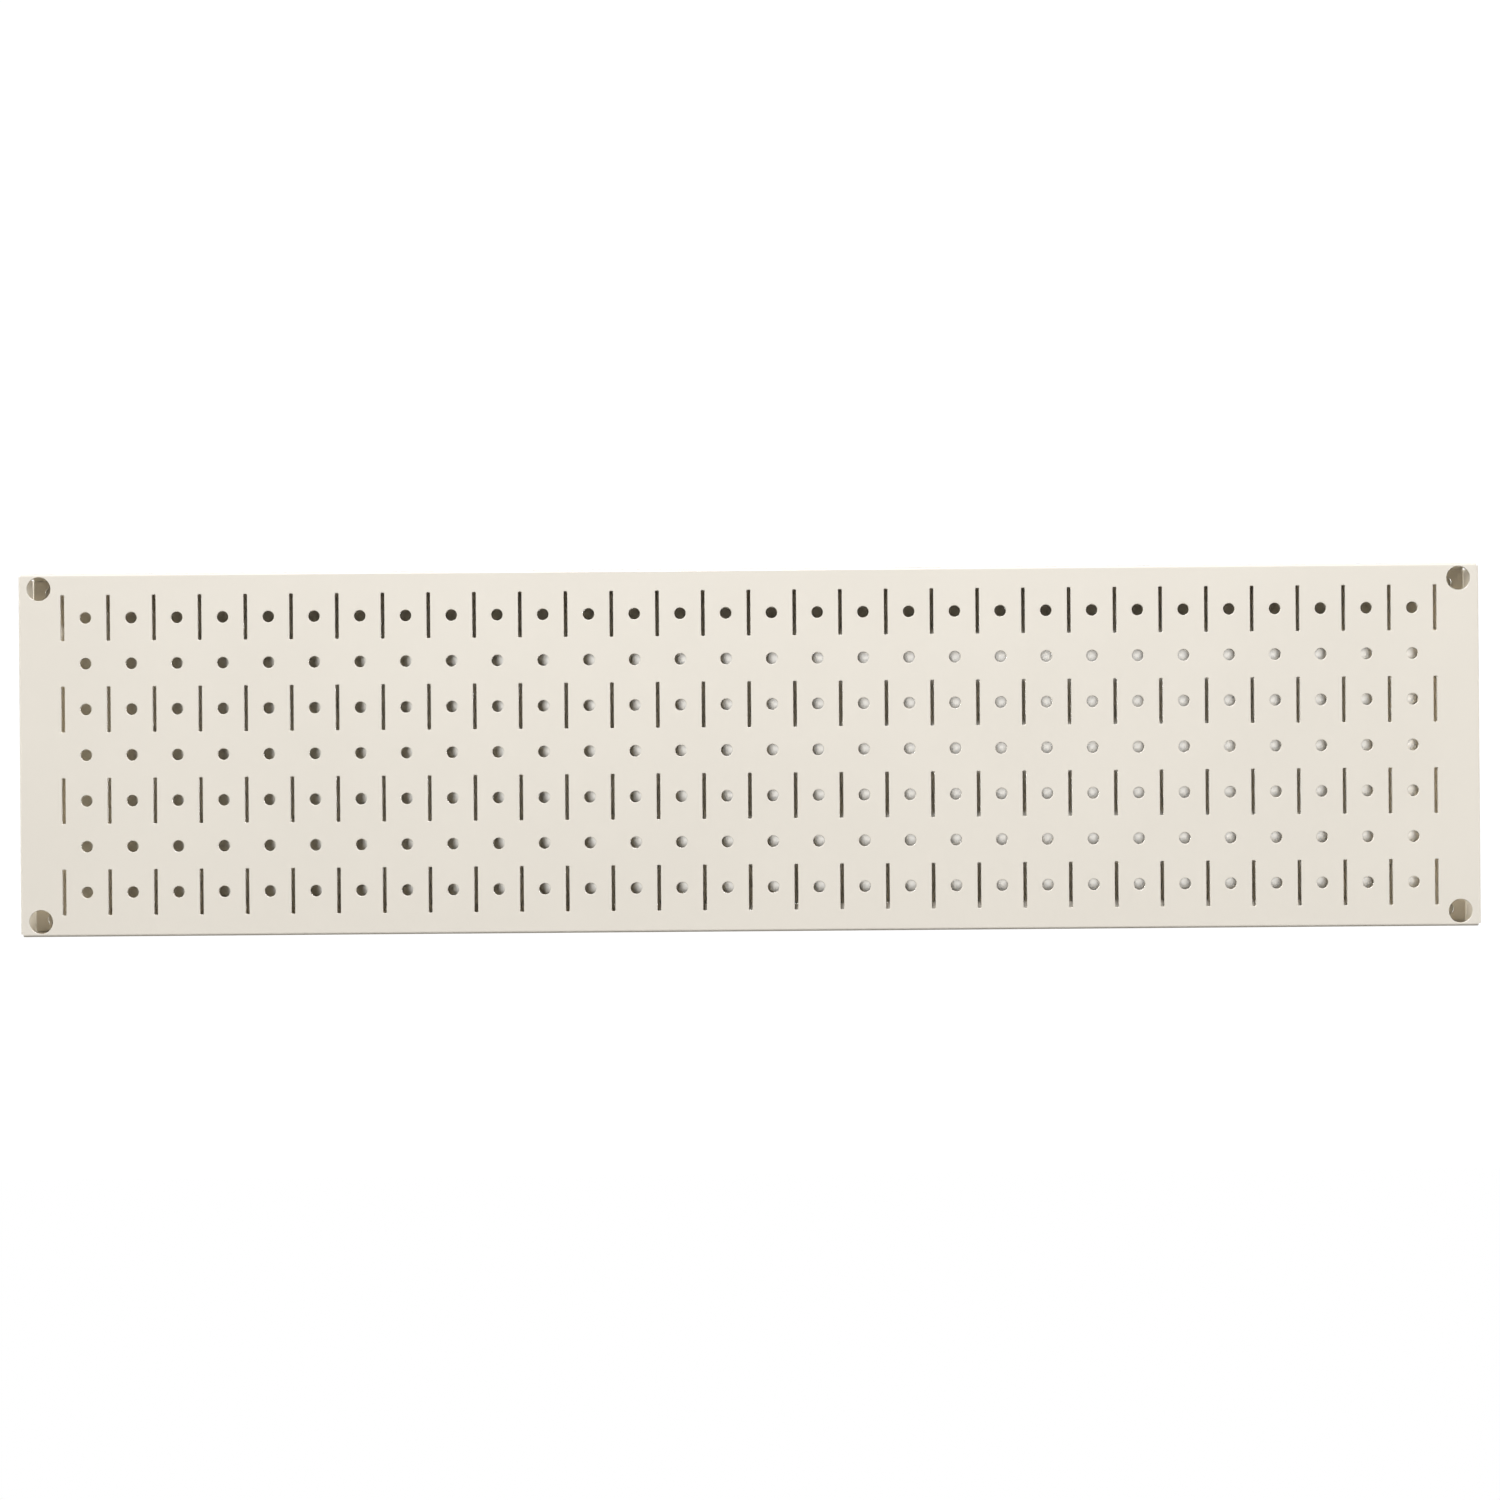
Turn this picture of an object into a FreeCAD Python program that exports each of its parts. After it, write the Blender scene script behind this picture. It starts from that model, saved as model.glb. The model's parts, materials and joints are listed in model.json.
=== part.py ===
"""Steel pegboard tool wall: a shallow strip panel folded from one sheet.

The perforated face stands off the wall on four flanges, and each flange ends
in a return lip that lies flat against the wall.  The sheet is split along its
bends, so that the face, the flanges and the lips are separate solids that
meet face to face.

Frame: X runs along the panel, +Z is up and the face looks towards -Y.  The
origin is the centre of the four wall screw holes, in the plane of the wall.
All lengths are in millimetres.
"""
import FreeCAD
import Part
import os
from math import cos, radians, sin

VEC = FreeCAD.Vector

# Overall size of the folded panel.
WIDTH = 811.2
HEIGHT = 201.6
DEPTH = 19.05

# Sheet and bends.
SHEET = 0.91
BEND_INSIDE = 0.6
BEND_OUTSIDE = BEND_INSIDE + SHEET

# Grid of round peg holes, with a slot midway between neighbouring columns.
PITCH = 25.4
GRID_EDGE_LEAST = 22.0
PEG_HOLE_D = 6.35
SLOT_WIDTH = 2.0
SLOT_LENGTH = 25.4
SLOT_CORNER_R = 0.35
SLOT_ROW_STEP = 2

# Corner holes: a screw and its driver pass the face and reach the lip behind.
ACCESS_D = 13.1
ACCESS_WEB_ENDS = 3.44
ACCESS_WEB_EDGES = 0.34
SCREW_HOLE_D = 7.1

# Return lips.
TOP_LIP = 19.0
BOTTOM_LIP = 14.3
SIDE_LIP_WEB = 3.95
LIP_GAP = 0.5

# Sizes that follow from the ones above.
HALF_W = WIDTH / 2
HALF_H = HEIGHT / 2
FLAT_HALF_W = HALF_W - BEND_OUTSIDE
FLAT_HALF_H = HALF_H - BEND_OUTSIDE
CORNER_X = FLAT_HALF_W - ACCESS_WEB_ENDS - ACCESS_D / 2
CORNER_Z = FLAT_HALF_H - ACCESS_WEB_EDGES - ACCESS_D / 2
SIDE_LIP = HALF_W - CORNER_X + SCREW_HOLE_D / 2 + SIDE_LIP_WEB

SLOT_COLUMNS = int((WIDTH - 2 * GRID_EDGE_LEAST) // PITCH) + 1
HOLE_COLUMNS = SLOT_COLUMNS - 1
HOLE_ROWS = int((HEIGHT - 2 * GRID_EDGE_LEAST) // PITCH) + 1


def centred_places(count, step):
    """Places of count points, a step apart, centred on zero, low to high."""
    first = -step * (count - 1) / 2
    return [first + step * index for index in range(count)]


def corner_places():
    """Centres of the four corner holes, as (x, z)."""
    return [(side * CORNER_X, end * CORNER_Z) for side in (-1, 1) for end in (-1, 1)]


def circle_wire(x, z, diameter, y):
    """Round outline in the plane of the given y."""
    return Part.Wire(Part.makeCircle(diameter / 2, VEC(x, y, z), VEC(0, 1, 0)))


def slot_wire(x, z, y):
    """Upright slot outline with small rounded corners, in the plane of the given y."""
    reach_x = SLOT_WIDTH / 2 - SLOT_CORNER_R
    reach_z = SLOT_LENGTH / 2 - SLOT_CORNER_R
    rounds = []
    for start_angle, sx, sz in ((0, 1, 1), (90, -1, 1), (180, -1, -1), (270, 1, -1)):
        turns = [radians(start_angle + step) for step in (0, 45, 90)]
        rounds.append([
            VEC(x + sx * reach_x + SLOT_CORNER_R * cos(turn), y, z + sz * reach_z + SLOT_CORNER_R * sin(turn))
            for turn in turns
        ])
    edges = []
    for corner, following in zip(rounds, rounds[1:] + rounds[:1]):
        edges.append(Part.Arc(*corner).toShape())
        edges.append(Part.LineSegment(corner[-1], following[0]).toShape())
    return Part.Wire(edges)


def rectangle_wire(x_low, x_high, z_low, z_high, y):
    """Rectangular outline in the plane of the given y."""
    corners = [VEC(x_low, y, z_low), VEC(x_high, y, z_low), VEC(x_high, y, z_high), VEC(x_low, y, z_high)]
    return Part.makePolygon(corners + corners[:1])


def plate(outline, cutouts, thickness):
    """Sheet of the given thickness, its cut-outs open, from its front plane towards +Y."""
    blank = Part.Face(outline).extrude(VEC(0, thickness, 0))
    if not cutouts:
        return blank
    reach = VEC(0, thickness, 0)
    punches = [Part.Face(wire).extrude(reach) for wire in cutouts]
    return blank.cut(Part.makeCompound(punches)).Solids[0]


def face_panel():
    """Flat perforated face, out to where the bends start."""
    front = -DEPTH
    hole_rows = centred_places(HOLE_ROWS, PITCH)
    slot_rows = list(reversed(hole_rows))[::SLOT_ROW_STEP]
    hole_columns = centred_places(HOLE_COLUMNS, PITCH)
    slot_columns = centred_places(SLOT_COLUMNS, PITCH)
    cutouts = [circle_wire(x, z, PEG_HOLE_D, front) for x in hole_columns for z in hole_rows]
    cutouts += [slot_wire(x, z, front) for x in slot_columns for z in slot_rows]
    cutouts += [circle_wire(x, z, ACCESS_D, front) for x, z in corner_places()]
    outline = rectangle_wire(-FLAT_HALF_W, FLAT_HALF_W, -FLAT_HALF_H, FLAT_HALF_H, front)
    return plate(outline, cutouts, SHEET)


def flange(reach, half_length, turn):
    """Wall with its front and rear bends.

    The wall is drawn as the top one, its outside at z = reach, and then turned
    about the Y axis, by turn degrees, to the side of the panel where it belongs.
    """
    inside = BEND_INSIDE
    outside = BEND_OUTSIDE
    diagonal = 0.5 ** 0.5
    front_centre = (outside - DEPTH, reach - outside)
    rear_centre = (-outside, reach - outside)

    def at(y, z):
        return VEC(-half_length, y, z)

    def on_arc(centre, radius, side):
        return at(centre[0] + side * radius * diagonal, centre[1] + radius * diagonal)

    front_low, front_high = at(-DEPTH, reach - outside), at(outside - DEPTH, reach)
    rear_high, rear_low = at(-outside, reach), at(0, reach - outside)
    inner_rear_low, inner_rear_high = at(-SHEET, reach - outside), at(-outside, reach - SHEET)
    inner_front_high, inner_front_low = at(outside - DEPTH, reach - SHEET), at(SHEET - DEPTH, reach - outside)
    edges = [
        Part.Arc(front_low, on_arc(front_centre, outside, -1), front_high).toShape(),
        Part.LineSegment(front_high, rear_high).toShape(),
        Part.Arc(rear_high, on_arc(rear_centre, outside, 1), rear_low).toShape(),
        Part.LineSegment(rear_low, inner_rear_low).toShape(),
        Part.Arc(inner_rear_low, on_arc(rear_centre, inside, 1), inner_rear_high).toShape(),
        Part.LineSegment(inner_rear_high, inner_front_high).toShape(),
        Part.Arc(inner_front_high, on_arc(front_centre, inside, -1), inner_front_low).toShape(),
        Part.LineSegment(inner_front_low, front_low).toShape(),
    ]
    wall = Part.Face(Part.Wire(edges)).extrude(VEC(2 * half_length, 0, 0))
    wall.rotate(VEC(0, 0, 0), VEC(0, 1, 0), turn)
    return wall


def long_lip(z_bend, z_free):
    """Return lip along the top or the bottom, between the two side lips."""
    half_length = HALF_W - SIDE_LIP - LIP_GAP
    low, high = sorted((z_bend, z_free))
    return plate(rectangle_wire(-half_length, half_length, low, high, -SHEET), [], SHEET)


def side_lip(side):
    """Upright return lip with its two screw holes; side is -1 on the left and 1 on the right."""
    half_length = FLAT_HALF_H - LIP_GAP
    low, high = sorted((side * FLAT_HALF_W, side * (HALF_W - SIDE_LIP)))
    screw_holes = [circle_wire(side * CORNER_X, end * CORNER_Z, SCREW_HOLE_D, -SHEET) for end in (-1, 1)]
    return plate(rectangle_wire(low, high, -half_length, half_length, -SHEET), screw_holes, SHEET)


def build_nodes():
    """Every solid of the panel, by the name of its node."""
    return {
        "face_panel": face_panel(),
        "top_flange": flange(HALF_H, FLAT_HALF_W, 0),
        "right_flange": flange(HALF_W, FLAT_HALF_H, 90),
        "bottom_flange": flange(HALF_H, FLAT_HALF_W, 180),
        "left_flange": flange(HALF_W, FLAT_HALF_H, 270),
        "top_return_lip": long_lip(FLAT_HALF_H, HALF_H - TOP_LIP),
        "bottom_return_lip": long_lip(-FLAT_HALF_H, BOTTOM_LIP - HALF_H),
        "left_return_lip": side_lip(-1),
        "right_return_lip": side_lip(1),
    }


def main():
    """Write one STEP file for each node."""
    os.makedirs("parts", exist_ok=True)
    for name, shape in build_nodes().items():
        shape.exportStep(os.path.join("parts", name + ".step"))


main()
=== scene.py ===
"""Looks of the steel pegboard tool wall: a cream strip panel folded from one sheet.

Each region of the folded sheet (the perforated face, the four flanges and the
four return lips) is a piece of its own with softened punched edges and true
bends, dressed in glossy cream powder coat.  Lengths are in metres.
"""

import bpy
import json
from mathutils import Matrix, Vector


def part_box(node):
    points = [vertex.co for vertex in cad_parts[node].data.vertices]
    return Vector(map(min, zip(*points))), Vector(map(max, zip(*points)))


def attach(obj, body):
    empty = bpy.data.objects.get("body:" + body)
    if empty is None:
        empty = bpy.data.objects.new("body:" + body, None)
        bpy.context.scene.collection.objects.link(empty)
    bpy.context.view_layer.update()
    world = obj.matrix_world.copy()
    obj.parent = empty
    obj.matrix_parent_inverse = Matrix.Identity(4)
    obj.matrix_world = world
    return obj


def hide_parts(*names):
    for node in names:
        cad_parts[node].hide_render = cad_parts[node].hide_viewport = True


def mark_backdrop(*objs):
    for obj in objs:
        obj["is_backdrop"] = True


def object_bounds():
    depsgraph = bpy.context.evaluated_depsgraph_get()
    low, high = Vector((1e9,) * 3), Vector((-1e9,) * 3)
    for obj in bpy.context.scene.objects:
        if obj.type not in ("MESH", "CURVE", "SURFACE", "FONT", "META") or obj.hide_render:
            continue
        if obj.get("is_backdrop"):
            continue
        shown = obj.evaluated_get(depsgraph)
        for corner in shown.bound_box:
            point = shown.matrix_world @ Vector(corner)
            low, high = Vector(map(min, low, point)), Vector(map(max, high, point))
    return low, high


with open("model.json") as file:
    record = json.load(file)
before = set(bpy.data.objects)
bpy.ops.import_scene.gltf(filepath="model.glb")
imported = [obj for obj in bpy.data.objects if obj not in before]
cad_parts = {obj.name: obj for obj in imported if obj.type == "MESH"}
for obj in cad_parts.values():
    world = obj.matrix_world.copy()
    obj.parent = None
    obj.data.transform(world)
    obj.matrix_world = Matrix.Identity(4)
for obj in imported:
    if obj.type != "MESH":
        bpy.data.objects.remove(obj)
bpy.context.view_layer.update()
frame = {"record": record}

import json
import logging
import math
from dataclasses import dataclass
from enum import Enum
from typing import Callable, Iterable

import bpy
from mathutils import Vector

LOG = logging.getLogger("pegboard")
MM = 0.001
BODY = "root"

# Places closer together than this count as the same.
NEAR = 0.01 * MM
# An edge that turns by more than this is shaded sharp.
SMOOTH_ANGLE = math.radians(50)
# An edge that turns by more than this is softened with a small bevel.
SHARP_EDGE = math.radians(40)
# Stands a flat shape up in the plane of the face.
UPRIGHT = (math.pi / 2, 0, 0)


# ---------------------------------------------------------------- modelling by hand


def deselect_all() -> None:
    """Leave nothing selected, in object mode."""
    if bpy.context.object is not None and bpy.context.object.mode != "OBJECT":
        bpy.ops.object.mode_set(mode="OBJECT")
    bpy.ops.object.select_all(action="DESELECT")


def work_on(obj: bpy.types.Object) -> None:
    """Make one object the only selected and active one.

    Args:
        obj: The object to work on.
    """
    deselect_all()
    obj.select_set(True)
    bpy.context.view_layer.objects.active = obj


def edit(obj: bpy.types.Object, mode: str = "VERT") -> None:
    """Open an object in edit mode with nothing selected.

    Args:
        obj: The object to open.
        mode: What is picked in it: VERT, EDGE or FACE.
    """
    work_on(obj)
    bpy.ops.object.mode_set(mode="EDIT")
    bpy.ops.mesh.select_mode(type=mode)
    bpy.ops.mesh.select_all(action="DESELECT")


def pick(obj: bpy.types.Object, kind: str, test: Callable[[Vector], bool]) -> None:
    """Select the edges or faces whose corners all pass a test of their place.

    Args:
        obj: The object, open in edit mode.
        kind: Either EDGE or FACE.
        test: Says whether a corner's place is wanted.
    """
    bpy.ops.mesh.select_mode(type=kind)
    bpy.ops.mesh.select_all(action="DESELECT")
    bpy.ops.object.mode_set(mode="OBJECT")
    mesh = obj.data
    wanted = [test(vertex.co) for vertex in mesh.vertices]
    for element in mesh.edges if kind == "EDGE" else mesh.polygons:
        if all(wanted[index] for index in element.vertices):
            element.select = True
    bpy.ops.object.mode_set(mode="EDIT")


def drop_edges(obj: bpy.types.Object, test: Callable[[Vector], bool]) -> None:
    """Deselect the edges whose ends both pass a test of their place.

    Args:
        obj: The object, open in edit mode with edges selected.
        test: Says whether an end's place is unwanted.
    """
    bpy.ops.object.mode_set(mode="OBJECT")
    mesh = obj.data
    for edge in mesh.edges:
        if edge.select and all(test(mesh.vertices[index].co) for index in edge.vertices):
            edge.select = False
    bpy.ops.object.mode_set(mode="EDIT")


def pick_open_edges(obj: bpy.types.Object, test: Callable[[Vector], bool]) -> None:
    """Select the edges with just one face, or none, whose ends pass a test.

    Args:
        obj: The object, open in edit mode.
        test: Says whether an end's place is wanted.
    """
    bpy.ops.mesh.select_mode(type="EDGE")
    bpy.ops.mesh.select_all(action="DESELECT")
    bpy.ops.object.mode_set(mode="OBJECT")
    mesh = obj.data
    uses: dict[tuple[int, int], int] = {}
    for face in mesh.polygons:
        for key in face.edge_keys:
            uses[key] = uses.get(key, 0) + 1
    wanted = [test(vertex.co) for vertex in mesh.vertices]
    for edge in mesh.edges:
        if uses.get(edge.key, 0) < 2 and all(wanted[index] for index in edge.vertices):
            edge.select = True
    bpy.ops.object.mode_set(mode="EDIT")


def close_edit(obj: bpy.types.Object) -> None:
    """Turn every face outwards and go back to object mode.

    Args:
        obj: The object that is open in edit mode.
    """
    bpy.ops.mesh.select_all(action="SELECT")
    bpy.ops.mesh.normals_make_consistent(inside=False)
    bpy.ops.object.mode_set(mode="OBJECT")
    work_on(obj)


def face_outwards(obj: bpy.types.Object) -> None:
    """Turn a closed object's faces over if they look inwards.

    Args:
        obj: The object, with all its faces looking the same way.
    """
    mesh = obj.data
    mesh.calc_loop_triangles()
    volume = 0.0
    for triangle in mesh.loop_triangles:
        first, second, third = (mesh.vertices[index].co for index in triangle.vertices)
        volume += first.dot(second.cross(third))
    if volume < 0:
        edit(obj, "FACE")
        bpy.ops.mesh.select_all(action="SELECT")
        bpy.ops.mesh.flip_normals()
        bpy.ops.object.mode_set(mode="OBJECT")


def apply_modifiers(obj: bpy.types.Object) -> None:
    """Apply an object's modifiers in order.

    Args:
        obj: The object whose modifiers are applied.
    """
    work_on(obj)
    for name in [modifier.name for modifier in obj.modifiers]:
        bpy.ops.object.modifier_apply(modifier=name)


def settle(obj: bpy.types.Object) -> None:
    """Put an object at the origin with its place in its mesh.

    Args:
        obj: The object to settle.
    """
    work_on(obj)
    bpy.ops.object.transform_apply(location=True, rotation=True, scale=True)


def merge(parts: Iterable[bpy.types.Object], name: str) -> bpy.types.Object:
    """Join objects into the first of them.

    Args:
        parts: The objects to join.
        name: The name of the joined object.

    Returns:
        The joined object.
    """
    parts = list(parts)
    work_on(parts[0])
    for other in parts[1:]:
        other.select_set(True)
    bpy.ops.object.join()
    joined = bpy.context.object
    joined.name = name
    joined.data.name = name
    return joined


def soft_shade(obj: bpy.types.Object, angle: float = SMOOTH_ANGLE) -> None:
    """Shade an object smooth, apart from its sharp edges, with its flats left flat.

    Args:
        obj: The object to shade.
        angle: Edges that turn by more than this stay sharp.
    """
    work_on(obj)
    bpy.ops.object.shade_smooth_by_angle(angle=angle)
    weighted = obj.modifiers.new("Flats", "WEIGHTED_NORMAL")
    weighted.mode = "FACE_AREA"
    weighted.weight = 100
    weighted.keep_sharp = True
    apply_modifiers(obj)


# ---------------------------------------------------------------- sizes


def mount(name: str) -> dict:
    """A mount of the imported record.

    Args:
        name: The mount's name.

    Returns:
        The mount, with its place and its sizes.
    """
    return next(entry for entry in frame["record"]["mounts"] if entry["name"] == name)


@dataclass(frozen=True)
class SheetSizes:
    """Sizes of the folded sheet, read from the frame where it holds them."""

    width: float
    height: float
    depth: float
    gauge: float
    bend: float
    pitch: float
    peg_radius: float
    access_radius: float
    screw_radius: float
    corner: tuple[float, float]
    peg_span: tuple[float, float]
    slot_width: float = 2.0 * MM
    slot_length: float = 25.4 * MM
    slot_corner: float = 0.35 * MM
    slot_row_step: int = 2

    @classmethod
    def from_frame(cls) -> "SheetSizes":
        """Sizes of the panel as it was packed.

        Returns:
            The sizes.
        """
        low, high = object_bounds()
        face_low, face_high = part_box("face_panel")
        access = mount("driver_access_holes")["dims"]
        pegs = mount("peg_grid_corner_holes")["dims"]
        return cls(
            width=high[0] - low[0],
            height=high[2] - low[2],
            depth=high[1] - low[1],
            gauge=face_high[1] - face_low[1],
            bend=high[0] - face_high[0],
            pitch=mount("hook_hole_pair_middle_centre")["dims"]["spacing_y_mm"] * MM,
            peg_radius=pegs["hole_r_mm"] * MM,
            access_radius=access["hole_r_mm"] * MM,
            screw_radius=mount("wall_screw_holes")["dims"]["hole_r_mm"] * MM,
            corner=(access["spacing_x_mm"] * MM / 2, access["spacing_y_mm"] * MM / 2),
            peg_span=(pegs["spacing_x_mm"] * MM, pegs["spacing_y_mm"] * MM),
        )

    @property
    def front(self) -> float:
        """Where the front of the face is, along Y."""
        return -self.depth

    @property
    def flat(self) -> tuple[float, float]:
        """Half the width and half the height of the flat between the bends."""
        return self.width / 2 - self.bend, self.height / 2 - self.bend

    @property
    def peg_counts(self) -> tuple[int, int]:
        """Columns and rows of peg holes."""
        return round(self.peg_span[0] / self.pitch) + 1, round(self.peg_span[1] / self.pitch) + 1


# ---------------------------------------------------------------- finishes


@dataclass(frozen=True)
class PowderCoat:
    """Glossy powder coat baked onto steel."""

    name: str = "cream_powder_coat"
    cream: tuple[float, float, float] = (0.812, 0.752, 0.637)
    shade: tuple[float, float, float] = (0.787, 0.728, 0.617)
    roughness: tuple[float, float] = (0.34, 0.44)
    peel_scale: float = 620.0
    grain_scale: float = 2400.0
    drift_scale: float = 5.0
    sway_scale: float = 11.0
    sway_depth: float = 0.06 * MM
    peel_depth: float = 0.005 * MM
    grain_depth: float = 0.001 * MM
    noise_range: tuple[float, float] = (0.3, 0.7)
    ior: float = 1.5
    coat_weight: float = 0.35
    coat_roughness: float = 0.16

    def build(self) -> bpy.types.Material:
        """Make the material's nodes.

        Returns:
            The finished material.
        """
        material = bpy.data.materials.new(self.name)
        material.use_nodes = True
        nodes = material.node_tree.nodes
        links = material.node_tree.links
        shader = nodes["Principled BSDF"]
        place = nodes.new("ShaderNodeTexCoord").outputs["Object"]

        def noise(scale: float, detail: float) -> bpy.types.NodeSocket:
            """Noise over the panel.

            Args:
                scale: How fine it is.
                detail: How many finer layers it has.

            Returns:
                The noise's value.
            """
            texture = nodes.new("ShaderNodeTexNoise")
            texture.inputs["Scale"].default_value = scale
            texture.inputs["Detail"].default_value = detail
            links.new(place, texture.inputs["Vector"])
            return texture.outputs["Fac"]

        def spread(value: bpy.types.NodeSocket, low: float, high: float) -> bpy.types.NodeSocket:
            """Stretch a noise over a range.

            Args:
                value: The noise.
                low: Where the range starts.
                high: Where it ends.

            Returns:
                The stretched value.
            """
            ranged = nodes.new("ShaderNodeMapRange")
            ranged.inputs["From Min"].default_value = self.noise_range[0]
            ranged.inputs["From Max"].default_value = self.noise_range[1]
            ranged.inputs["To Min"].default_value = low
            ranged.inputs["To Max"].default_value = high
            links.new(value, ranged.inputs["Value"])
            return ranged.outputs["Result"]

        tone = nodes.new("ShaderNodeMix")
        tone.data_type = "RGBA"
        tone.inputs["A"].default_value = (*self.cream, 1.0)
        tone.inputs["B"].default_value = (*self.shade, 1.0)
        links.new(spread(noise(self.drift_scale, 3.0), 0.0, 1.0), tone.inputs["Factor"])
        links.new(tone.outputs["Result"], shader.inputs["Base Color"])
        links.new(spread(noise(self.sway_scale * 3, 2.0), *self.roughness), shader.inputs["Roughness"])

        relief = None
        layers = (
            (self.sway_scale, self.sway_depth),
            (self.peel_scale, self.peel_depth),
            (self.grain_scale, self.grain_depth),
        )
        for scale, depth in layers:
            bump = nodes.new("ShaderNodeBump")
            bump.inputs["Strength"].default_value = 1.0
            bump.inputs["Distance"].default_value = depth
            links.new(noise(scale, 2.0), bump.inputs["Height"])
            if relief is not None:
                links.new(relief, bump.inputs["Normal"])
            relief = bump.outputs["Normal"]
        links.new(relief, shader.inputs["Normal"])

        shader.inputs["IOR"].default_value = self.ior
        shader.inputs["Coat Weight"].default_value = self.coat_weight
        shader.inputs["Coat Roughness"].default_value = self.coat_roughness
        return material


# ---------------------------------------------------------------- pieces


@dataclass
class Piece:
    """A piece of the panel, which stands for one CAD node."""

    node: str
    sizes: SheetSizes
    softening: float = 0.14 * MM

    def build(self) -> bpy.types.Object:
        """Model the piece.

        Returns:
            The piece's object.
        """
        raise NotImplementedError

    def finish(self, coat: bpy.types.Material) -> bpy.types.Object:
        """Model and dress the piece, attach it to the body and hide the node it stands for.

        Args:
            coat: The material of the piece.

        Returns:
            The finished piece.
        """
        obj = self.build()
        obj.name = f"{self.node}_sheet"
        settle(obj)
        face_outwards(obj)
        soft_shade(obj)
        obj.data.materials.clear()
        obj.data.materials.append(coat)
        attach(obj, BODY)
        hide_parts(self.node)
        LOG.info("%s: %d faces", obj.name, len(obj.data.polygons))
        return obj


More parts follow.
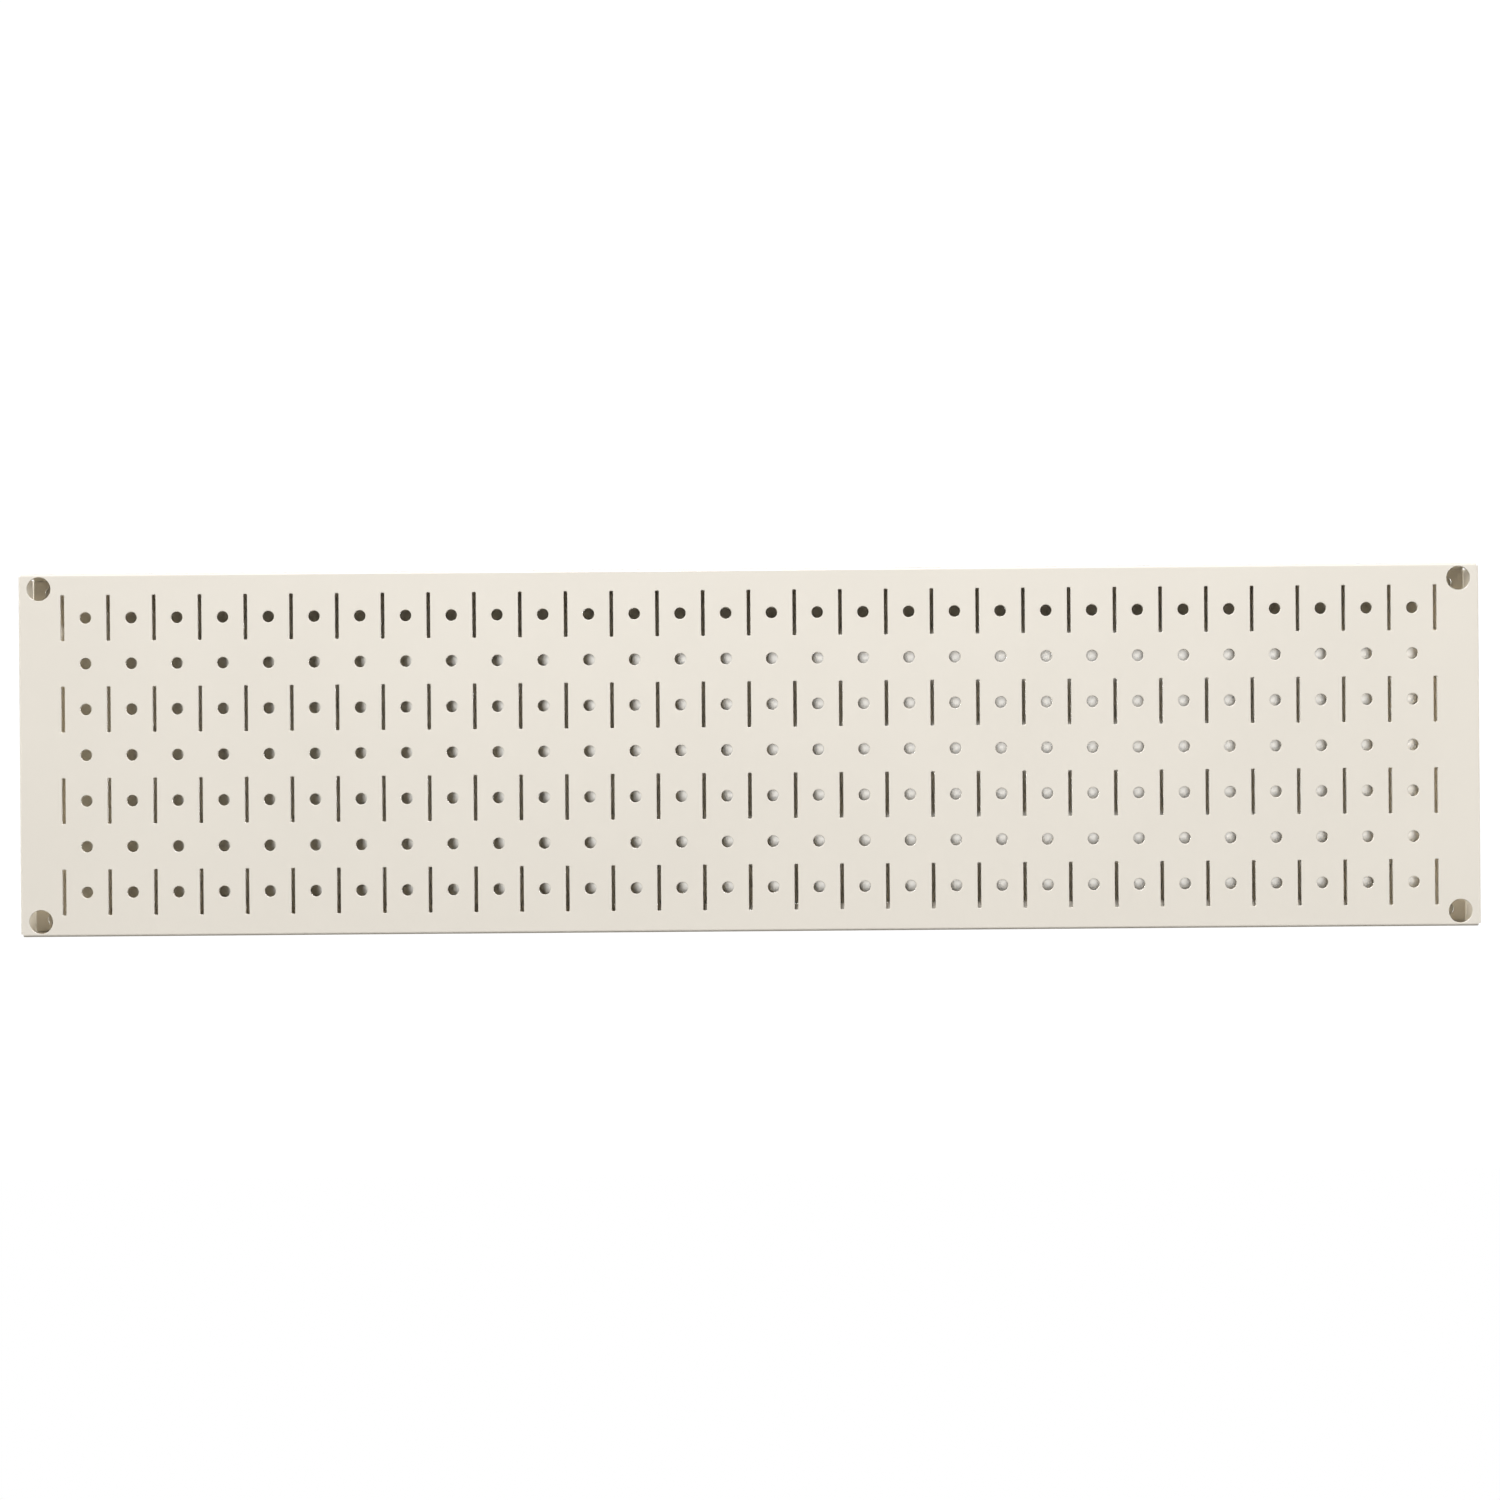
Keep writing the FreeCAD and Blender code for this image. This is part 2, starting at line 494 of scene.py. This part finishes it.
@dataclass
class FacePanel(Piece):
    """The flat perforated face, with every punched edge softened at the front."""

    collar: float = 0.5 * MM
    slim_collar: float = 0.1 * MM
    peg_sides: int = 24
    access_sides: int = 40
    slot_corner_steps: int = 2

    def punched_rim(self, blank: bpy.types.Object, collar: float) -> bpy.types.Object:
        """Turn a flat blank into the collar, softened lip and wall of a punched hole.

        Args:
            blank: One flat face in the front plane, as large as the collar's outside.
            collar: The width of the flat ring around the softened lip.

        Returns:
            The rim, open at the back.
        """
        soft = self.softening
        edit(blank, "FACE")
        bpy.ops.mesh.select_all(action="SELECT")
        bpy.ops.mesh.inset(thickness=collar, depth=0)
        bpy.ops.mesh.inset(thickness=soft, depth=0)
        bpy.ops.transform.translate(value=(0, soft, 0))
        to_back = {"value": (0, self.sizes.gauge - soft, 0)}
        bpy.ops.mesh.extrude_region_move(TRANSFORM_OT_translate=to_back)
        bpy.ops.mesh.delete(type="ONLY_FACE")
        bpy.ops.object.mode_set(mode="OBJECT")
        return blank

    def round_rim(self, radius: float, sides: int, collar: float, x: float, z: float) -> bpy.types.Object:
        """Rim of one round hole.

        Args:
            radius: The hole's radius.
            sides: How many sides its outline has.
            collar: The width of the flat ring around its softened lip.
            x: Where it is along the panel.
            z: How high it is.

        Returns:
            The rim.
        """
        deselect_all()
        widest = (radius + self.softening + collar) / math.cos(math.pi / sides)
        bpy.ops.mesh.primitive_circle_add(
            vertices=sides, radius=widest, fill_type="NGON", location=(x, self.sizes.front, z), rotation=UPRIGHT
        )
        blank = bpy.context.object
        settle(blank)
        return self.punched_rim(blank, collar)

    def slot_rim(self, x: float, z: float) -> bpy.types.Object:
        """Rim of one upright slot.

        Args:
            x: Where it is along the panel.
            z: How high its middle is.

        Returns:
            The rim.
        """
        sizes = self.sizes
        margin = self.softening + self.collar
        deselect_all()
        bpy.ops.mesh.primitive_plane_add(size=1, location=(x, sizes.front, z), rotation=UPRIGHT)
        blank = bpy.context.object
        blank.scale = (sizes.slot_width + 2 * margin, sizes.slot_length + 2 * margin, 1)
        settle(blank)
        edit(blank)
        bpy.ops.mesh.select_all(action="SELECT")
        round_off = sizes.slot_corner + margin
        bpy.ops.mesh.bevel(affect="VERTICES", offset=round_off, segments=self.slot_corner_steps)
        bpy.ops.object.mode_set(mode="OBJECT")
        return self.punched_rim(blank, self.collar)

    def repeat(self, rim: bpy.types.Object, columns: int, rows: int, step_z: float) -> bpy.types.Object:
        """Copy a rim over a grid, from its lowest left place.

        Args:
            rim: The rim at the lowest left place.
            columns: How many columns the grid has.
            rows: How many rows it has.
            step_z: The distance between its rows.

        Returns:
            All the rims as one object.
        """
        for count, step in ((columns, (self.sizes.pitch, 0, 0)), (rows, (0, 0, step_z))):
            array = rim.modifiers.new("Grid", "ARRAY")
            array.count = count
            array.use_relative_offset = False
            array.use_constant_offset = True
            array.constant_offset_displace = step
        apply_modifiers(rim)
        return rim

    def outline(self, y: float) -> bpy.types.Object:
        """Open outline of the flat face.

        Args:
            y: The plane that it lies in.

        Returns:
            The outline, four edges with no face.
        """
        half_w, half_h = self.sizes.flat
        deselect_all()
        bpy.ops.mesh.primitive_plane_add(size=1, location=(0, y, 0), rotation=UPRIGHT)
        border = bpy.context.object
        border.scale = (2 * half_w, 2 * half_h, 1)
        settle(border)
        edit(border, "FACE")
        bpy.ops.mesh.select_all(action="SELECT")
        bpy.ops.mesh.delete(type="ONLY_FACE")
        bpy.ops.object.mode_set(mode="OBJECT")
        return border

    def build(self) -> bpy.types.Object:
        """Model the perforated face as one closed sheet.

        Returns:
            The face.
        """
        sizes = self.sizes
        columns, rows = sizes.peg_counts
        half_span_x, half_span_z = sizes.peg_span[0] / 2, sizes.peg_span[1] / 2
        slot_rows = (rows - 1) // sizes.slot_row_step + 1
        pegs = self.round_rim(sizes.peg_radius, self.peg_sides, self.collar, -half_span_x, -half_span_z)
        pegs = self.repeat(pegs, columns, rows, sizes.pitch)
        slots = self.slot_rim(-half_span_x - sizes.pitch / 2, -half_span_z)
        slots = self.repeat(slots, columns + 1, slot_rows, sizes.pitch * sizes.slot_row_step)
        corner_x, corner_z = sizes.corner
        corners = [(side * corner_x, end * corner_z) for side in (-1, 1) for end in (-1, 1)]
        access = [self.round_rim(sizes.access_radius, self.access_sides, self.slim_collar, *place) for place in corners]
        back = sizes.front + sizes.gauge
        borders = [self.outline(sizes.front), self.outline(back)]
        sheet = merge([pegs, slots, *access, *borders], self.node)
        edit(sheet, "EDGE")
        for plane in (sizes.front, back):
            pick_open_edges(sheet, lambda place: abs(place.y - plane) < NEAR)
            bpy.ops.mesh.fill(use_beauty=True)
        half_w, half_h = sizes.flat
        pick_open_edges(sheet, lambda place: abs(place.x) > half_w - NEAR or abs(place.z) > half_h - NEAR)
        bpy.ops.mesh.bridge_edge_loops()
        close_edit(sheet)
        return sheet


class Side(Enum):
    """A side of the panel, with the turn about Y that brings the top to it."""

    TOP = 0
    RIGHT = 90
    BOTTOM = 180
    LEFT = 270


@dataclass
class Flange(Piece):
    """A wall with its front and rear bends."""

    side: Side = Side.TOP
    bend_steps: int = 8
    tangent_strip: float = 0.03 * MM

    def build(self) -> bpy.types.Object:
        """Fold a strip twice, give it the sheet's thickness and turn it to its side.

        Returns:
            The flange.
        """
        sizes = self.sizes
        upright = self.side in (Side.LEFT, Side.RIGHT)
        reach = (sizes.width if upright else sizes.height) / 2
        half_length = sizes.flat[1] if upright else sizes.flat[0]
        deselect_all()
        bpy.ops.mesh.primitive_plane_add(size=1, location=(0, sizes.front / 2, reach))
        wall = bpy.context.object
        wall.scale = (2 * half_length, sizes.depth, 1)
        settle(wall)
        edit(wall, "EDGE")
        for y in (sizes.front, 0.0):
            pick(wall, "EDGE", lambda place: abs(place.y - y) < NEAR)
            bpy.ops.mesh.extrude_region_move(TRANSFORM_OT_translate={"value": (0, 0, -sizes.bend)})
        bend = sizes.bend - self.tangent_strip
        for y in (sizes.front, 0.0):
            pick(wall, "EDGE", lambda place: place.z > reach - NEAR and abs(place.y - y) < NEAR)
            bpy.ops.mesh.bevel(affect="EDGES", offset=bend, segments=self.bend_steps, profile=0.5)
        close_edit(wall)
        self.face_up(wall)
        thick = wall.modifiers.new("Gauge", "SOLIDIFY")
        thick.thickness = sizes.gauge
        thick.offset = -1
        thick.use_even_offset = True
        apply_modifiers(wall)
        edit(wall, "EDGE")
        for end in (-1, 1):
            pick(wall, "EDGE", lambda place: place.x * end > half_length - NEAR)
            drop_edges(wall, lambda place: abs(place.z - (reach - sizes.bend)) < NEAR)
            bpy.ops.mesh.bevel(affect="EDGES", offset=self.softening, segments=1)
        bpy.ops.mesh.select_all(action="SELECT")
        turn = -math.radians(self.side.value)
        bpy.ops.transform.rotate(value=turn, orient_axis="Y", center_override=(0, 0, 0))
        close_edit(wall)
        return wall

    def face_up(self, wall: bpy.types.Object) -> None:
        """Turn the unthickened strip's normals to the outside of the fold.

        Args:
            wall: The folded strip.
        """
        middle = max(wall.data.polygons, key=lambda face: face.area)
        if middle.normal.z < 0:
            edit(wall, "FACE")
            bpy.ops.mesh.select_all(action="SELECT")
            bpy.ops.mesh.flip_normals()
            bpy.ops.object.mode_set(mode="OBJECT")


@dataclass
class ReturnLip(Piece):
    """A flat lip behind the panel, softened along its free edges."""

    side: Side = Side.TOP
    hole_sides: int = 32

    def is_seam(self, place: Vector) -> bool:
        """Whether a place is on the bend line that joins this lip to its flange.

        Args:
            place: A place in the panel's frame.

        Returns:
            Whether it is on the bend line.
        """
        half_w, half_h = self.sizes.flat
        seams = {
            Side.TOP: place.z - half_h,
            Side.BOTTOM: place.z + half_h,
            Side.RIGHT: place.x - half_w,
            Side.LEFT: place.x + half_w,
        }
        return abs(seams[self.side]) < NEAR

    def build(self) -> bpy.types.Object:
        """Model the lip from the space that its node holds.

        Returns:
            The lip.
        """
        low, high = (Vector(corner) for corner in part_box(self.node))
        deselect_all()
        bpy.ops.mesh.primitive_plane_add(size=1, location=(low + high) / 2, rotation=UPRIGHT)
        lip = bpy.context.object
        lip.location.y = low.y
        lip.scale = (high.x - low.x, high.z - low.z, 1)
        settle(lip)
        outlines = [lip]
        if self.side in (Side.LEFT, Side.RIGHT):
            hole_x = math.copysign(self.sizes.corner[0], low.x)
            outlines += [self.hole(hole_x, end * self.sizes.corner[1]) for end in (-1, 1)]
        edit(lip, "FACE")
        bpy.ops.mesh.select_all(action="SELECT")
        bpy.ops.mesh.delete(type="ONLY_FACE")
        lip = merge(outlines, self.node)
        edit(lip, "EDGE")
        bpy.ops.mesh.select_all(action="SELECT")
        bpy.ops.mesh.fill(use_beauty=True)
        bpy.ops.mesh.select_all(action="SELECT")
        bpy.ops.mesh.extrude_region_move(TRANSFORM_OT_translate={"value": (0, high.y - low.y, 0)})
        bpy.ops.mesh.select_all(action="SELECT")
        bpy.ops.mesh.normals_make_consistent(inside=False)
        bpy.ops.mesh.select_all(action="DESELECT")
        bpy.ops.mesh.edges_select_sharp(sharpness=SHARP_EDGE)
        drop_edges(lip, self.is_seam)
        bpy.ops.mesh.bevel(affect="EDGES", offset=self.softening, segments=1)
        close_edit(lip)
        return lip

    def hole(self, x: float, z: float) -> bpy.types.Object:
        """Outline of one screw hole.

        Args:
            x: Where it is along the panel.
            z: How high it is.

        Returns:
            The outline.
        """
        deselect_all()
        bpy.ops.mesh.primitive_circle_add(
            vertices=self.hole_sides,
            radius=self.sizes.screw_radius,
            location=(x, -self.sizes.gauge, z),
            rotation=(math.pi / 2, 0, 0),
        )
        ring = bpy.context.object
        settle(ring)
        return ring


# ---------------------------------------------------------------- studio


@dataclass
class Studio:
    """Floor, backing board, lights and camera."""

    sizes: SheetSizes
    floor_drop: float = 0.80
    floor_color: tuple[float, float, float] = (0.9, 0.9, 0.89)
    floor_bounce: tuple[float, float, float] = (0.32, 0.31, 0.29)
    fade: tuple[float, float] = (0.9, 1.35)
    floor_size: float = 6.0
    board_color: tuple[float, float, float] = (0.90, 0.86, 0.77)
    board_gap: float = 0.25 * MM
    board_inset: float = 0.5 * MM
    light_color: tuple[float, float, float] = (0.97, 0.99, 1.05)
    key_place: tuple[float, float, float] = (-0.275, -2.5, 3.24)
    key_aim: tuple[float, float, float] = (1.6, 0.0, 0.0)
    key_size: float = 0.50
    key_power: float = 260
    rear_place: tuple[float, float, float] = (0.0, 4.5, 0.15)
    rear_size: float = 0.9
    rear_power: float = 130
    side_place: tuple[float, float, float] = (6.0, 0.55, 0.2)
    side_size: float = 1.8
    side_power: float = 190
    fill_power: float = 0.02
    fill_inset: float = 15 * MM
    fill_behind: float = 2 * MM
    fill_width: float = 4 * MM
    fill_margin: float = 10 * MM
    fill_aim: float = 5 * MM
    glow: float = 0.07
    surround: float = 1.05
    camera_distance: float = 0.95
    camera_drop: float = 0.025
    camera_roll: float = math.radians(0.46)
    shown_width: float = 0.8327
    sensor_width: float = 36.0

    def plain(self, name: str, color: tuple[float, float, float]) -> bpy.types.Material:
        """Matt material of one colour for the stage.

        Args:
            name: The material's name.
            color: Its colour.

        Returns:
            The material.
        """
        material = bpy.data.materials.new(name)
        material.use_nodes = True
        shader = material.node_tree.nodes["Principled BSDF"]
        shader.inputs["Base Color"].default_value = (*color, 1.0)
        shader.inputs["Roughness"].default_value = 0.9
        return material

    def board_material(self) -> bpy.types.Material:
        """Pale board that is only there from its front, so that the panel's back can be seen and lit.

        Direct light on the surface that is seen first also passes through it.

        Returns:
            The material.
        """
        material = self.plain("backing_board", self.board_color)
        nodes = material.node_tree.nodes
        links = material.node_tree.links
        clear = nodes.new("ShaderNodeBsdfTransparent")
        mixer = nodes.new("ShaderNodeMixShader")
        facing = nodes.new("ShaderNodeNewGeometry")
        path = nodes.new("ShaderNodeLightPath")
        first = nodes.new("ShaderNodeMath")
        first.operation = "LESS_THAN"
        first.inputs[1].default_value = 1.5
        direct = nodes.new("ShaderNodeMath")
        direct.operation = "MULTIPLY"
        either = nodes.new("ShaderNodeMath")
        either.operation = "MAXIMUM"
        links.new(path.outputs["Ray Depth"], first.inputs[0])
        links.new(path.outputs["Is Shadow Ray"], direct.inputs[0])
        links.new(first.outputs["Value"], direct.inputs[1])
        links.new(facing.outputs["Backfacing"], either.inputs[0])
        links.new(direct.outputs["Value"], either.inputs[1])
        links.new(either.outputs["Value"], mixer.inputs["Fac"])
        links.new(nodes["Principled BSDF"].outputs["BSDF"], mixer.inputs[1])
        links.new(clear.outputs["BSDF"], mixer.inputs[2])
        links.new(mixer.outputs["Shader"], nodes["Material Output"].inputs["Surface"])
        return material

    def floor_material(self) -> bpy.types.Material:
        """Pale floor that throws little light back up and fades into the white surroundings at its rim.

        Returns:
            The material.
        """
        material = self.plain("pale_floor", self.floor_color)
        nodes = material.node_tree.nodes
        links = material.node_tree.links
        white = nodes.new("ShaderNodeEmission")
        mixer = nodes.new("ShaderNodeMixShader")
        place = nodes.new("ShaderNodeTexCoord")
        reach = nodes.new("ShaderNodeVectorMath")
        reach.operation = "LENGTH"
        fade = nodes.new("ShaderNodeMapRange")
        fade.interpolation_type = "SMOOTHSTEP"
        fade.inputs["From Min"].default_value = self.fade[0]
        fade.inputs["From Max"].default_value = self.fade[1]
        seen = nodes.new("ShaderNodeLightPath")
        shade = nodes.new("ShaderNodeMix")
        shade.data_type = "RGBA"
        shade.inputs["A"].default_value = (*self.floor_bounce, 1.0)
        shade.inputs["B"].default_value = (*self.floor_color, 1.0)
        links.new(seen.outputs["Is Camera Ray"], shade.inputs["Factor"])
        links.new(shade.outputs["Result"], nodes["Principled BSDF"].inputs["Base Color"])
        amount = nodes.new("ShaderNodeMath")
        amount.operation = "MULTIPLY"
        links.new(place.outputs["Object"], reach.inputs[0])
        links.new(reach.outputs["Value"], fade.inputs["Value"])
        links.new(fade.outputs["Result"], amount.inputs[0])
        links.new(seen.outputs["Is Camera Ray"], amount.inputs[1])
        links.new(amount.outputs["Value"], mixer.inputs["Fac"])
        links.new(nodes["Principled BSDF"].outputs["BSDF"], mixer.inputs[1])
        links.new(white.outputs["Emission"], mixer.inputs[2])
        links.new(mixer.outputs["Shader"], nodes["Material Output"].inputs["Surface"])
        return material

    def build_stage(self) -> None:
        """Add the floor and the board that the panel lies against."""
        sizes = self.sizes
        deselect_all()
        floor_height = -sizes.height / 2 - self.floor_drop
        bpy.ops.mesh.primitive_plane_add(size=self.floor_size, location=(0, 0, floor_height))
        floor = bpy.context.object
        floor.name = "floor"
        floor.data.materials.append(self.floor_material())
        settle(floor)
        deselect_all()
        bpy.ops.mesh.primitive_plane_add(size=1, location=(0, self.board_gap, 0), rotation=UPRIGHT)
        board = bpy.context.object
        board.name = "backing_board"
        board.scale = (sizes.width - 2 * self.board_inset, sizes.height - 2 * self.board_inset, 1)
        board.data.materials.append(self.board_material())
        settle(board)
        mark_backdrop(floor, board)

    def area_light(self, name: str, place: Vector, aim: Vector, size: float, power: float) -> bpy.types.Object:
        """Add a round soft light.

        Args:
            name: The light's name.
            place: Where it is.
            aim: The point it faces.
            size: Its diameter.
            power: Its power in watts.

        Returns:
            The light.
        """
        data = bpy.data.lights.new(name, "AREA")
        data.shape = "DISK"
        data.size = size
        data.energy = power
        lamp = bpy.data.objects.new(name, data)
        bpy.context.collection.objects.link(lamp)
        lamp.location = place
        lamp.rotation_euler = (aim - place).to_track_quat("-Z", "Y").to_euler()
        lamp.visible_camera = False
        return lamp

    def build_lights(self) -> None:
        """Add the high key light, the lights behind and beside, and the even glow all round."""
        middle = Vector((0, 0, 0))
        key = self.area_light("key_light", Vector(self.key_place), Vector(self.key_aim), self.key_size, self.key_power)
        key.data.color = self.light_color
        self.area_light("rear_light", Vector(self.rear_place), middle, self.rear_size, self.rear_power)
        reach, depth, height = self.side_place
        for side in (-1, 1):
            place = Vector((side * reach, depth, height))
            lamp = self.area_light("side_light", place, middle, self.side_size, self.side_power)
            lamp.visible_glossy = False
        world = bpy.data.worlds.new("studio")
        bpy.context.scene.world = world
        world.use_nodes = True
        nodes = world.node_tree.nodes
        links = world.node_tree.links
        glow = nodes["Background"]
        glow.inputs["Color"].default_value = (*self.light_color, 1.0)
        glow.inputs["Strength"].default_value = self.glow
        white = nodes.new("ShaderNodeBackground")
        white.inputs["Color"].default_value = (1.0, 1.0, 1.0, 1.0)
        white.inputs["Strength"].default_value = self.surround
        mixer = nodes.new("ShaderNodeMixShader")
        path = nodes.new("ShaderNodeLightPath")
        links.new(path.outputs["Is Camera Ray"], mixer.inputs["Fac"])
        links.new(glow.outputs["Background"], mixer.inputs[1])
        links.new(white.outputs["Background"], mixer.inputs[2])
        links.new(mixer.outputs["Shader"], nodes["World Output"].inputs["Surface"])

    def fill_ends(self, flanges: list[bpy.types.Object]) -> None:
        """Add a slim light behind each end of the face, which lights only the end walls.

        Args:
            flanges: The left and right flanges.
        """
        sizes = self.sizes
        walls = bpy.data.collections.new("end_walls")
        for flange in flanges:
            walls.objects.link(flange)
        for side in (-1, 1):
            place = Vector((side * (sizes.width / 2 - self.fill_inset), sizes.front + self.fill_behind, 0))
            aim = Vector((side * sizes.width / 2, -self.fill_aim, 0))
            lamp = self.area_light("end_fill", place, aim, self.fill_width, self.fill_power)
            lamp.data.shape = "RECTANGLE"
            lamp.data.size_y = sizes.height - self.fill_margin
            lamp.visible_glossy = False
            lamp.light_linking.receiver_collection = walls

    def build_camera(self) -> None:
        """Add the camera, straight in front of the panel."""
        data = bpy.data.cameras.new("camera")
        data.sensor_width = self.sensor_width
        data.lens = self.sensor_width * self.camera_distance / self.shown_width
        data.shift_y = self.camera_drop / self.shown_width
        camera = bpy.data.objects.new("camera", data)
        bpy.context.collection.objects.link(camera)
        camera.location = (0.0, self.sizes.front - self.camera_distance, -self.camera_drop)
        camera.rotation_euler = (math.pi / 2, self.camera_roll, 0)
        bpy.context.scene.camera = camera

    def build(self) -> None:
        """Set up the whole studio."""
        self.build_camera()
        self.build_stage()
        self.build_lights()
        bpy.context.scene.view_settings.view_transform = "Standard"


def main() -> None:
    """Build the studio and every piece of the panel."""
    logging.basicConfig(level=logging.INFO, format="%(name)s: %(message)s")
    sizes = SheetSizes.from_frame()
    studio = Studio(sizes)
    studio.build()
    coat = PowderCoat().build()
    pieces: list[Piece] = [FacePanel("face_panel", sizes)]
    for side in Side:
        word = side.name.lower()
        pieces.append(Flange(f"{word}_flange", sizes, side=side))
        pieces.append(ReturnLip(f"{word}_return_lip", sizes, side=side))
    built = {piece.node: piece.finish(coat) for piece in pieces}
    studio.fill_ends([built["left_flange"], built["right_flange"]])
    deselect_all()


if __name__ == "__main__":
    main()
